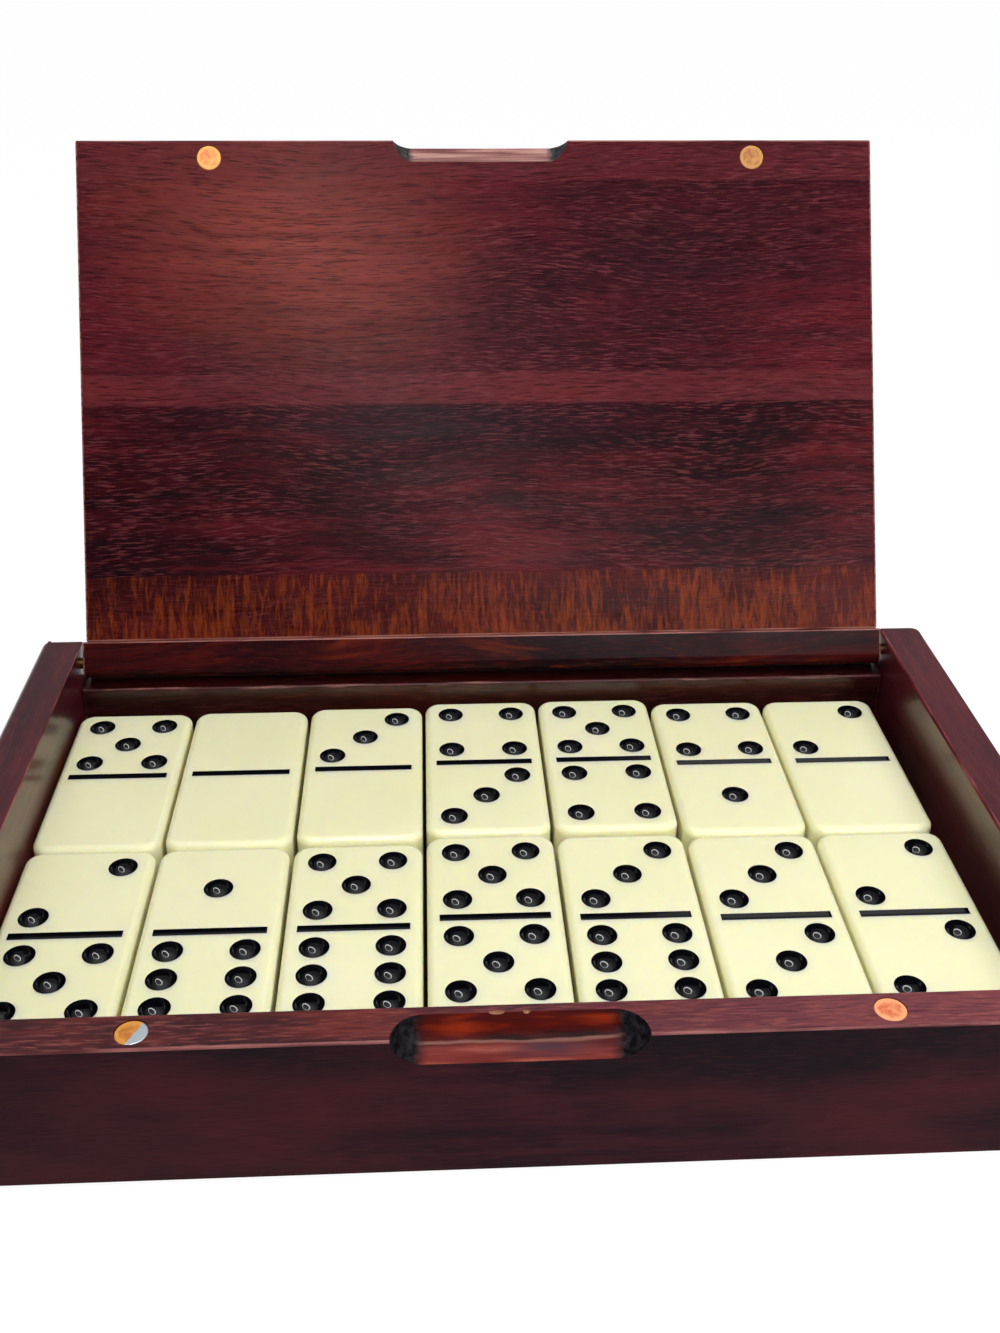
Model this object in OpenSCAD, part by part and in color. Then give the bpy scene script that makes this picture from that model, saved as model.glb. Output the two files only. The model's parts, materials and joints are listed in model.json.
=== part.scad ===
// Wooden box for a double-six set of dominoes, with the lid standing open.
// Millimetres. X runs across the box, -Y is the front, Z is up.
// The origin is the middle of the box's underside.

/* [Box] */
// Thickness of each side wall
side_t = 9.3; // [6:0.1:12]
// Thickness of the front wall
front_t = 7.8; // [7:0.1:12]
// Thickness of the back wall
back_t = 7.8; // [7:0.1:12]
// Thickness of the bottom panel
base_t = 6.6; // [3:0.2:10]
// Free width between the last tile of a row and the right wall
right_slack = 4.3; // [0.4:0.1:40]
// Free depth between the back row, pushed forward, and the back wall
back_slack = 4.4; // [2.8:0.1:40]
// Height of the front wall's top over the tiles
headroom = 4.5; // [0.5:0.1:30]
// Radius of the box's upright corners
corner_r = 2; // [0.5:0.1:3]
// Rounding of the walls' long top edges
ease_r = 0.6; // [0.2:0.1:1]

/* [Lid] */
// Thickness of the lid
lid_t = 7.4; // [6:0.1:9]
// Rounding of the lid's edges
lid_ease = 0.4; // [0.2:0.1:0.8]
// Play between the lid board and each side wall
lid_play = 2; // [0.5:0.1:3]
// Play between the hinge rail and each side wall
rail_play = 1.1; // [0.3:0.1:2]
// Gap under the closed lid, over the front wall
seat_gap = 0.2; // [0.1:0.1:0.5]
// Angle through which the lid opens
open_angle = 119; // [95:1:125]

/* [Hinge] */
// Distance from the back of the side walls to the hinge pins
pin_back = 3.6; // [2.8:0.1:5]
// Distance from the back of the closed hinge rail to the back of the side walls
rail_back = 0.3; // [0:0.1:0.5]
// Width of the hinge rail in front of the pins
rail_front = 4.8; // [3:0.1:8]
// Rounding of the rail's lower back edge
tail_r = 2.4; // [1.5:0.1:2.9]
// Radius of the hinge pins
pin_r = 1.25; // [0.8:0.05:1.5]
// Depth of each pin in the hinge rail
pin_reach = 9; // [5:0.5:15]
// Depth of each pin's outer end under the face of its wall
pin_inset = 0.4; // [0:0.1:1]
// Radial play of the hinge pins in the rail
pin_play = 0.05; // [0.02:0.01:0.09]
// Play between the end of each pin and the bottom of its bore
pin_end_play = 0.05; // [0.02:0.01:0.5]
// Clearance of the turning rail over the top of the back wall
sweep_gap = 0.1; // [0.05:0.05:0.4]
// Gap between the open lid and the top of the back wall
stop_gap = 0.1; // [0.05:0.05:0.4]

/* [Finger grip] */
// Place of the pocket and the notch to the right of the middle
grip_shift = 0.6; // [0:0.1:2]
// Length of the pocket in the front wall
pocket_w = 42; // [25:1:60]
// Radius of the pocket's round-nosed cut
pocket_r = 5.6; // [3:0.1:6]
// Place of the cut's centre behind the front face and over the top
pocket_shift = 0.3; // [0:0.1:0.6]
// Length of the notch in the lid's front edge
notch_w = 40; // [25:1:60]
// Depth of the notch at the lid's underside
notch_d = 5; // [2.5:0.1:6]
// Radius of the hollow that the notch follows
notch_r = 10; // [8:0.2:16]
// Radius of the notch's ends
notch_end_r = 4.8; // [1:0.1:6]

/* [Magnets] */
// Radius of the magnets
magnet_r = 2.75; // [1.5:0.05:3]
// Thickness of the magnets
magnet_t = 2.5; // [1:0.1:4]
// Distance from each side wall to the nearer magnets' centres
magnet_end = 30.6; // [10:0.2:45]
// How far the lid's pair was drilled to the right of the box's pair
lid_pair_shift = 1; // [0:0.1:1.5]
// Depth of a magnet's face under the wood
magnet_sunk = 0.1; // [0:0.05:0.5]
// Play round and behind a magnet in its hole
magnet_play = 0.05; // [0.02:0.01:0.1]

/* [Tiles] */
// Width of a tile
tile_w = 25; // [20:0.5:35]
// Length of a tile
tile_l = 50; // [44:0.5:70]
// Thickness of a tile
tile_t = 10; // [7:0.1:14]
// Corner radius of a tile, seen from above
tile_corner = 3.3; // [2:0.1:5]
// Rounding of a tile's faces into its sides
tile_edge = 1.5; // [0.5:0.1:1.8]
// Gap between neighbours in a row
gap_x = 0.73; // [0.4:0.01:2]
// Gap between the two rows
gap_y = 0.3; // [0.3:0.05:2]
// Gap between a tile and what it lies on
gap_z = 0.05; // [0.02:0.01:0.1]
// Gap between the left wall and the first tile
wall_gap = 0.7; // [0.4:0.1:1]
// Gap between the front wall and the first row
front_gap = 0.3; // [0.3:0.1:1]

/* [Pips] */
// Radius of a pip's rim
pip_r = 2.75; // [2.6:0.05:3]
// Depth of a pip, almost a half ball
pip_d = 2.6; // [1:0.1:2.6]
// Distance from a tile's sides and ends to the nearest pips' centres
pip_edge = 5.7; // [4.8:0.1:6.2]
// Distance from a tile's middle line to the first row of pips
pip_bar = 5.1; // [4.2:0.1:5.6]
// Distance from a tile's sides to the ends of the bar
bar_end = 2.3; // [1.6:0.1:5]
// Width of the bar
bar_w = 1.4; // [0.8:0.1:2]
// Depth of the bar
bar_d = 0.5; // [0.3:0.1:1]

/* [Hidden] */
$fn = 48;
cut = 1; // how far a cutting solid runs past the wood

// Pips of each tile, far half then near half, from the left wall to the right
BACK_TOP = [[5, 0], [0, 0], [3, 0], [4, 3], [5, 4], [4, 1], [2, 0]];
FRONT_TOP = [[2, 5], [1, 6], [5, 6], [5, 5], [3, 6], [3, 3], [2, 2]];
BACK_LOW = [[0, 1], [0, 4], [0, 6], [1, 1], [1, 2], [1, 3], [1, 5]];
FRONT_LOW = [[2, 3], [2, 4], [2, 6], [3, 5], [4, 4], [4, 6], [6, 6]];
// How far each pile has slid back from the front of its row
FRONT_SLID = [0, 0, 0, 2, 1.2, 0.1, 0];
BACK_SLID = [0, 0.3, 1, 2.4, 2.6, 0.5, 0.3];

// Inside: the tiles and the free space round them
columns = len(BACK_TOP);
layers = 2;
inner_w = wall_gap + columns*tile_w + (columns - 1)*gap_x + right_slack;
inner_d = front_gap + 2*tile_l + gap_y + back_slack;

// Outside: the lid lies between the side walls, on the front wall
box_w = inner_w + 2*side_t;
box_d = front_t + inner_d + back_t;
front_h = base_t + layers*(tile_t + gap_z) + headroom;
side_h = front_h + seat_gap + lid_t;
front_y = -box_d/2;
back_y = box_d/2;

// Hinge: the pins run at mid-thickness of the closed lid
pin_y = back_y - pin_back;
pin_z = side_h - lid_t/2;
pin_l = side_t - pin_inset + rail_play + pin_reach;
rail_tail = pin_back - rail_back;
lid_tip = pin_y - front_y;
board_w = inner_w - 2*lid_play;
rail_w = inner_w - 2*rail_play;

// The rail's upper back edge comes down on the back wall and stops the lid,
// and its rounded tail passes over the wall on the way
stop_reach = norm([rail_tail - lid_ease, lid_t/2 - lid_ease]);
stop_turn = atan2(lid_t/2 - lid_ease, rail_tail - lid_ease) - open_angle;
stop_drop = lid_ease - stop_reach*sin(stop_turn) + stop_gap;
sweep_drop = norm([rail_tail - tail_r, lid_t/2 - tail_r]) + tail_r + sweep_gap;
back_h = pin_z - max(stop_drop, sweep_drop);

// Magnets: each pair is as far apart as the walls allow for
magnet_gap = inner_w - 2*magnet_end;
magnet_in = front_t/2;

pip_ball = (pip_r*pip_r + pip_d*pip_d)/(2*pip_d);
pip_x = tile_w/2 - pip_edge;
pip_y = (tile_l/2 - pip_edge - pip_bar)/2;
pip_mid = (tile_l/2 - pip_edge + pip_bar)/2;
bar_l = tile_w - 2*bar_end;

// One entry for each tile: [far pips, near pips, column, row, layer]
TILES = concat(
    [for (i = [0:columns - 1]) concat(FRONT_LOW[i], [i, 0, 0])],
    [for (i = [0:columns - 1]) concat(BACK_LOW[i], [i, 1, 0])],
    [for (i = [0:columns - 1]) concat(FRONT_TOP[i], [i, 0, 1])],
    [for (i = [0:columns - 1]) concat(BACK_TOP[i], [i, 1, 1])]);

function tile_name(t) = str("tile_", min(t[0], t[1]), "_", max(t[0], t[1]));
function slid(t) = t[3] == 0 ? FRONT_SLID[t[2]] : BACK_SLID[t[2]];
function tile_place(t) = [
    -inner_w/2 + wall_gap + tile_w/2 + t[2]*(tile_w + gap_x),
    front_y + front_t + front_gap + tile_l/2 + t[3]*(tile_l + gap_y) + slid(t),
    base_t + gap_z + t[4]*(tile_t + gap_z)];

// Places of n pips on one half, in columns (x) and rows (y) from its middle
function pips(n) =
    n == 0 ? [] :
    n == 1 ? [[0, 0]] :
    n == 2 ? [[1, 1], [-1, -1]] :
    n == 3 ? concat(pips(2), pips(1)) :
    n == 4 ? concat(pips(2), [[-1, 1], [1, -1]]) :
    n == 5 ? concat(pips(4), pips(1)) :
    concat(pips(4), [[-1, 0], [1, 0]]);

wood = "#5a2226";
dark_wood = "#3a161c";
ivory = "#efe9c0";
amber = "#c46a1a";
brass = "#b08d4c";

// Rectangle from the origin to size, with its two upper corners rounded
module eased(size, r) {
    square([size.x, size.y - r]);
    translate([r, 0]) square([size.x - 2*r, size.y]);
    for (x = [r, size.x - r]) translate([x, size.y - r]) circle(r);
}

// Rectangle round the origin, with all four corners rounded
module rounded(size, r) {
    square([size.x - 2*r, size.y], center = true);
    square([size.x, size.y - 2*r], center = true);
    for (x = [-1, 1], y = [-1, 1])
        translate([x*(size.x/2 - r), y*(size.y/2 - r)]) circle(r);
}

// Places children along the X axis: their Z becomes X, their X becomes Y
module along_x(length) {
    translate([-length/2, 0, 0]) rotate([90, 0, 90]) linear_extrude(length) children();
}

// Carries the closed lid, drawn round its pins, to where it stands open
module opened() {
    translate([0, pin_y, pin_z]) rotate([-open_angle, 0, 0]) children();
}

// Places children at the two magnets of a pair
module magnet_places(shift = 0) {
    for (s = [-1, 1]) translate([shift + s*magnet_gap/2, 0, 0]) children();
}

// One side wall; side is -1 for the left wall and 1 for the right
module side_wall(side) {
    outer_x = side*box_w/2;
    color(dark_wood) difference() {
        intersection() {
            translate([min(outer_x, outer_x - side*side_t), back_y, 0]) rotate([90, 0, 0])
                linear_extrude(box_d) eased([side_t, side_h], ease_r);
            linear_extrude(side_h) {
                translate([-box_w/2, front_y + corner_r])
                    square([box_w, box_d - 2*corner_r]);
                translate([corner_r - box_w/2, front_y])
                    square([box_w - 2*corner_r, box_d]);
                for (y = [front_y + corner_r, back_y - corner_r])
                    translate([outer_x - side*corner_r, y]) circle(corner_r);
            }
        }
        translate([outer_x + side*cut, pin_y, pin_z]) rotate([0, -side*90, 0])
            cylinder(r = pin_r, h = side_t + 2*cut);
    }
}

module left_wall() { side_wall(-1); }
module right_wall() { side_wall(1); }

// Round-nosed pocket for a fingertip, in the front wall's outer top edge
module finger_pocket() {
    straight = pocket_w/2 - pocket_r;
    translate([grip_shift, front_y + pocket_shift, front_h + pocket_shift]) {
        translate([-straight, 0, 0]) rotate([0, 90, 0])
            cylinder(r = pocket_r, h = 2*straight);
        for (s = [-1, 1]) translate([s*straight, 0, 0]) sphere(pocket_r);
    }
}

module front_wall() {
    hole_t = magnet_t + magnet_sunk + magnet_play;
    color(wood) difference() {
        translate([0, front_y, 0]) along_x(inner_w) eased([front_t, front_h], ease_r);
        finger_pocket();
        magnet_places() translate([0, front_y + magnet_in, front_h - hole_t])
            cylinder(r = magnet_r + magnet_play, h = hole_t + cut);
    }
}

module back_wall() {
    color(dark_wood) translate([0, back_y - back_t, 0])
        along_x(inner_w) eased([back_t, back_h], ease_r);
}

module bottom_panel() {
    color(dark_wood) translate([-inner_w/2, front_y + front_t, 0])
        cube([inner_w, box_d - front_t - back_t, base_t]);
}

// Hollow of the lid's notch: a wide round cut, with ends rounded in plan
module lid_notch() {
    translate([grip_shift, notch_d - notch_r - lid_tip, -lid_t/2]) intersection() {
        translate([-notch_w/2 - cut, 0, 0]) rotate([0, 90, 0])
            cylinder(r = notch_r, h = notch_w + 2*cut, $fn = 96);
        translate([0, 0, -cut]) linear_extrude(lid_t + 2*cut) {
            translate([-notch_w/2, 0]) square([notch_w, notch_r - notch_end_r]);
            translate([-notch_w/2 + notch_end_r, 0])
                square([notch_w - 2*notch_end_r, notch_r]);
            for (s = [-1, 1])
                translate([s*(notch_w/2 - notch_end_r), notch_r - notch_end_r])
                    circle(notch_end_r);
        }
    }
}

module lid_board() {
    hole_t = magnet_t + magnet_sunk + magnet_play;
    board_l = lid_tip - rail_front;
    color(wood) opened() difference() {
        intersection() {
            translate([0, -rail_front, 0]) rotate([90, 0, 0])
                linear_extrude(board_l) rounded([board_w, lid_t], lid_ease);
            translate([0, -rail_front - board_l/2, 0])
                along_x(board_w) rounded([board_l, lid_t], lid_ease);
        }
        lid_notch();
        magnet_places(lid_pair_shift)
            translate([0, magnet_in - lid_tip, -lid_t/2 - cut])
                cylinder(r = magnet_r + magnet_play, h = hole_t + cut);
    }
}

// Section of the hinge rail round the pins: a broad round below at the back
module rail_section() {
    translate([lid_ease - rail_front, -lid_t/2])
        square([rail_front - lid_ease + rail_tail - tail_r, lid_t]);
    translate([lid_ease - rail_front, 0])
        square([rail_front + rail_tail - 2*lid_ease, lid_t/2]);
    translate([-rail_front, lid_ease - lid_t/2])
        square([rail_front, lid_t - 2*lid_ease]);
    translate([-rail_front, tail_r - lid_t/2])
        square([rail_front + rail_tail, lid_t - tail_r - lid_ease]);
    for (z = [-1, 1])
        translate([lid_ease - rail_front, z*(lid_t/2 - lid_ease)]) circle(lid_ease);
    translate([rail_tail - lid_ease, lid_t/2 - lid_ease]) circle(lid_ease);
    translate([rail_tail - tail_r, tail_r - lid_t/2]) circle(tail_r);
}

// Rear rail of the lid, which turns on the pins
module hinge_rail() {
    bore_l = pin_reach + pin_end_play;
    color(wood) opened() difference() {
        along_x(rail_w) rail_section();
        for (s = [-1, 1])
            translate([s*(rail_w/2 - bore_l), 0, 0]) rotate([0, s*90, 0])
                cylinder(r = pin_r + pin_play, h = bore_l + cut);
    }
}

// Brass pin, driven in from outside a side wall and into the rail
module hinge_pin(side) {
    color(brass) translate([side*(box_w/2 - pin_inset), pin_y, pin_z])
        rotate([0, -side*90, 0]) cylinder(r = pin_r, h = pin_l);
}

module left_hinge_pin() { hinge_pin(-1); }
module right_hinge_pin() { hinge_pin(1); }

module magnet() {
    color(amber) cylinder(r = magnet_r, h = magnet_t);
}

module box_magnet(side) {
    translate([side*magnet_gap/2, front_y + magnet_in, front_h - magnet_sunk - magnet_t])
        magnet();
}

module lid_magnet(side) {
    opened() translate([lid_pair_shift + side*magnet_gap/2, magnet_in - lid_tip,
                        magnet_sunk - lid_t/2]) magnet();
}

module left_box_magnet() { box_magnet(-1); }
module right_box_magnet() { box_magnet(1); }
module left_lid_magnet() { lid_magnet(-1); }
module right_lid_magnet() { lid_magnet(1); }

// Rim of a tile from where its corners start: square below, round at both faces
module tile_rim() {
    square([tile_corner - tile_edge, tile_t]);
    translate([0, tile_edge]) square([tile_corner, tile_t - 2*tile_edge]);
    for (z = [tile_edge, tile_t - tile_edge])
        translate([tile_corner - tile_edge, z]) circle(tile_edge);
}

// Half of the rim's outline, clear of the middle of the tile
module tile_rim_outer() {
    intersection() {
        tile_rim();
        square([tile_corner, tile_t]);
    }
}

module tile_blank() {
    core_w = tile_w - 2*tile_corner;
    core_l = tile_l - 2*tile_corner;
    translate([-core_w/2, -core_l/2, 0]) cube([core_w, core_l, tile_t]);
    for (s = [0, 1]) rotate([0, 0, 180*s]) {
        translate([core_w/2, core_l/2, 0]) rotate([90, 0, 0])
            linear_extrude(core_l) tile_rim_outer();
        translate([core_w/2, core_l/2, 0]) rotate([90, 0, 90]) mirror([0, 0, 1])
            linear_extrude(core_w) tile_rim_outer();
        translate([core_w/2, core_l/2, 0]) rotate_extrude(angle = 90) tile_rim_outer();
        translate([-core_w/2, core_l/2, 0]) rotate([0, 0, 90])
            rotate_extrude(angle = 90) tile_rim_outer();
    }
}

// Dishes of the pips on one half; far is 1 for the far half and -1 for the near
module pip_dishes(n, far) {
    for (p = pips(n))
        translate([p.x*pip_x, far*pip_mid + p.y*pip_y, tile_t + pip_ball - pip_d])
            sphere(pip_ball);
}

module tile(t) {
    color(ivory) translate(tile_place(t)) difference() {
        tile_blank();
        translate([-bar_l/2, -bar_w/2, tile_t - bar_d]) cube([bar_l, bar_w, bar_d + cut]);
        pip_dishes(t[0], 1);
        pip_dishes(t[1], -1);
    }
}

left_wall();
right_wall();
front_wall();
back_wall();
bottom_panel();
lid_board();
hinge_rail();
left_hinge_pin();
right_hinge_pin();
left_box_magnet();
right_box_magnet();
left_lid_magnet();
right_lid_magnet();
for (t = TILES) tile(t);
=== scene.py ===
"""Open wooden box of domino tiles: finishes, modelled pieces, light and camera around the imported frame."""
import json
import math

import bpy
from mathutils import Matrix, Vector

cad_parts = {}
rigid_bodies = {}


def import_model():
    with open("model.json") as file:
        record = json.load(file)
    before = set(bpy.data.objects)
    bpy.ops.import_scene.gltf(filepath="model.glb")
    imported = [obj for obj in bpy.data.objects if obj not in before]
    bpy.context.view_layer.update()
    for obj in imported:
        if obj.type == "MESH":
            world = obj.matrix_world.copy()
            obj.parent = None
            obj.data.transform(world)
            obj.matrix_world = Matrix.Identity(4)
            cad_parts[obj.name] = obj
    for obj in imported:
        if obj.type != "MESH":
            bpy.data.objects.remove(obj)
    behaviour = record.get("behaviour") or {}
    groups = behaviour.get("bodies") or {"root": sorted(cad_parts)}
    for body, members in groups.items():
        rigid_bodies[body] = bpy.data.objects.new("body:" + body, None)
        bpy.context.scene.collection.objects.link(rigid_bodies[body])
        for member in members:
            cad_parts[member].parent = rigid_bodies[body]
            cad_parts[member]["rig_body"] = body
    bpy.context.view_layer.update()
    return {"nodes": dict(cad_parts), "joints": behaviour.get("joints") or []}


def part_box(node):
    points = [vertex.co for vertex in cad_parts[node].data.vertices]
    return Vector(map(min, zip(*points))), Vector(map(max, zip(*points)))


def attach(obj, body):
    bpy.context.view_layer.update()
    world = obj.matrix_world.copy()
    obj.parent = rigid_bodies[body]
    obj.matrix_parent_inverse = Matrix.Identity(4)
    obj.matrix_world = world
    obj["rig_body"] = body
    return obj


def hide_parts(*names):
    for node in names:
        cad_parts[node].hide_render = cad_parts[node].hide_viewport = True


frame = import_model()

MM = 0.001

# The photograph's frame, in pixels, and the camera that it was taken with
PHOTO_HEIGHT = 1333
FOCAL_PIXELS = 1396
CAMERA_AT = Vector((-12.2, -223.4, 193.4)) * MM
CAMERA_PITCH = 29.88
CAMERA_YAW = 3.13
CAMERA_ROLL = 0.5
SENSOR = 36

# Lid and hinge
HINGE = next(j for j in frame["joints"] if j["name"] == "lid_hinge")
PIN = Vector(HINGE["pos_m"])
OPEN_TURN = -math.radians(HINGE["range_deg"][1] - HINGE["range_deg"][0])
TO_CLOSED = Matrix.Translation(PIN) @ Matrix.Rotation(-OPEN_TURN, 4, "X") @ Matrix.Translation(-PIN)
TO_OPEN = TO_CLOSED.inverted()

# Walls and boards
EASED = 0.6 * MM
FRONT_EASED = 0.42 * MM
UPRIGHT_ROUND = 2 * MM
FOOT_CHAMFER = 1.1 * MM
LID_EASED = 0.4 * MM
LID_THICK = 7.4 * MM
RAIL_FRONT = 4.8 * MM
RAIL_TAIL = 3.3 * MM
RAIL_TAIL_ROUND = 2.4 * MM
PIN_R = 1.25 * MM
PIN_EASED = 0.25 * MM
BORE_LONG = 40 * MM

# Strips of the lid's inner face, as places along the lid: 0 at the pins, negative towards the tip
PAST_TIP = -118 * MM
TIP_STRIP = -108 * MM
PALE_BAND = (-64.5 * MM, -57.5 * MM)
DARK_BAND_END = -44 * MM
FOOT_STRIP = -19.2 * MM
STRIP_BLUR = 0.25 * MM
FLAME_RISE = (-22 * MM, -4.8 * MM)

# Finger grip
GRIP_X = 0.6 * MM
POCKET_FLAT = 30.8 * MM
POCKET_R = 5.6 * MM
POCKET_SHIFT = 0.3 * MM
NOTCH_FLAT = 30.6 * MM
NOTCH_END = 5.65 * MM
NOTCH_DEEP = 5 * MM
NOTCH_R = 10 * MM
NOTCH_LOW = 3.4 * MM

# Where the pocket's floor turns into its back, and where the char of each grip begins and is full
CREASE = (3.3 * MM, 3.9 * MM)
POCKET_CHAR = (14.8 * MM, 17.2 * MM)
NOTCH_CHAR = (15.2 * MM, 16.6 * MM)

# Chips in the pocket's back rim: place along X from the grip's middle, and half their length
CHIPS = [(-3.6 * MM, 1.3 * MM), (1.3 * MM, 0.6 * MM)]
CHIP_WIDE = 0.3 * MM
CHIP_DEEP = 0.5 * MM

# Magnets
MAGNET_R = 2.75 * MM
MAGNET_THICK = 2.5 * MM
MAGNET_HOLE_R = 2.8 * MM
MAGNET_HOLE_DEEP = 2.65 * MM
MAGNET_EASED = 0.3 * MM

# Where a magnet's rim tone begins and is full, and the same for the metal where lacquer is worn off
MAGNET_RIM = (2.1 * MM, 2.45 * MM)
MAGNET_BARE = (0.5 * MM, 0.7 * MM)

# Ring lamp, above and to the right of the camera; its place is in the camera's axes, in metres
RING_INNER = 0.18
RING_OUTER = 0.217
RING_AT = (0.147, 0.215, 0.02)
RING_STRENGTH = 14
RING_FLATNESS = 0.1

# Room: its brightness level with the horizon and overhead, how far up the change lies, and the floor
HORIZON = 0.28
OVERHEAD = 0.9
CEILING_FROM = 0.6
CEILING_FULL = 0.95
FLOOR_SIZE = 12
FLOOR_GLOW = 1.12
FLOOR_GLOW_SHARE = 0.8

# Tiles, as [far pips, near pips] from the left wall to the right
BACK_TOP = [[5, 0], [0, 0], [3, 0], [4, 3], [5, 4], [4, 1], [2, 0]]
FRONT_TOP = [[2, 5], [1, 6], [5, 6], [5, 5], [3, 6], [3, 3], [2, 2]]
BACK_LOW = [[0, 1], [0, 4], [0, 6], [1, 1], [1, 2], [1, 3], [1, 5]]
FRONT_LOW = [[2, 3], [2, 4], [2, 6], [3, 5], [4, 4], [4, 6], [6, 6]]
TILE_CORNER = 3.3 * MM
TILE_EDGE = 1.5 * MM
PIP_RIM_R = 2.75 * MM
PIP_DEEP = 2.6 * MM
PIP_X = 6.8 * MM
PIP_Y = 7.1 * MM
PIP_MIDDLE = 12.2 * MM
BAR_LONG = 20.4 * MM
BAR_WIDE = 1.75 * MM
BAR_DEEP = 0.5 * MM


def linear(code):
    """Linear colour of an #rrggbb code, with full alpha."""
    parts = [int(code[i : i + 2], 16) / 255 for i in (1, 3, 5)]
    return [c / 12.92 if c <= 0.04045 else ((c + 0.055) / 1.055) ** 2.4 for c in parts] + [1]


class Finish:
    """A procedural material, written as a chain of nodes."""

    def __init__(self, name):
        self.material = bpy.data.materials.new(name)
        self.material.use_nodes = True
        self.tree = self.material.node_tree
        self.shader = self.tree.nodes["Principled BSDF"]

    def node(self, kind, inputs=None, **settings):
        made = self.tree.nodes.new(kind)
        for key, value in settings.items():
            setattr(made, key, value)
        for key, value in (inputs or {}).items():
            self.put(made.inputs[key], value)
        return made

    def put(self, socket, value):
        if isinstance(value, bpy.types.NodeSocket):
            self.tree.links.new(value, socket)
        else:
            socket.default_value = value

    def place(self, origin=(0, 0, 0), turn=(0, 0, 0), scale=(1, 1, 1)):
        """Object coordinates, moved so that origin is zero, then turned and scaled."""
        here = self.node("ShaderNodeTexCoord").outputs["Object"]
        moved = self.node("ShaderNodeVectorMath", {0: here, 1: origin}, operation="SUBTRACT")
        turned = self.node("ShaderNodeMapping", {"Vector": moved.outputs[0], "Rotation": turn})
        return self.scaled(turned.outputs[0], scale)

    def scaled(self, vector, scale, shift=(0, 0, 0)):
        made = self.node("ShaderNodeMapping", {"Vector": vector, "Scale": scale, "Location": shift})
        return made.outputs[0]

    def noise(self, vector, scale=1.0, detail=2.0, roughness=0.5, distortion=0.0):
        made = self.node(
            "ShaderNodeTexNoise",
            {
                "Vector": vector,
                "Scale": scale,
                "Detail": detail,
                "Roughness": roughness,
                "Distortion": distortion,
            },
        )
        return made.outputs["Fac"]

    def ramp(self, fac, stops, interpolation="LINEAR"):
        made = self.node("ShaderNodeValToRGB", {"Fac": fac})
        made.color_ramp.interpolation = interpolation
        points = made.color_ramp.elements
        while len(points) < len(stops):
            points.new(0.5)
        for point, (at, colour) in zip(points, stops):
            point.position = at
            point.color = colour if hasattr(colour, "__len__") else (colour, colour, colour, 1)
        return made.outputs["Color"]

    def mix(self, fac, a, b, blend="MIX"):
        made = self.node("ShaderNodeMix", data_type="RGBA", blend_type=blend)
        for key, value in ((0, fac), (6, a), (7, b)):
            self.put(made.inputs[key], value)
        return made.outputs[2]

    def math(self, operation, a, b=0.5, clamp=False):
        made = self.node("ShaderNodeMath", {0: a, 1: b}, operation=operation, use_clamp=clamp)
        return made.outputs[0]

    def step(self, value, low, high):
        """0 below low, 1 above high, and even in between."""
        inputs = {"Value": value, "From Min": low, "From Max": high}
        return self.node("ShaderNodeMapRange", inputs).outputs[0]

    def parts(self, vector):
        return self.node("ShaderNodeSeparateXYZ", {"Vector": vector}).outputs

    def bump(self, height, distance, strength=1.0, normal=None):
        made = self.node(
            "ShaderNodeBump", {"Height": height, "Distance": distance, "Strength": strength}
        )
        if normal is not None:
            self.put(made.inputs["Normal"], normal)
        return made.outputs[0]

    def shade(self, **inputs):
        for key, value in inputs.items():
            self.put(self.shader.inputs[key.replace("_", " ")], value)
        return self.material


# Materials


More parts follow.
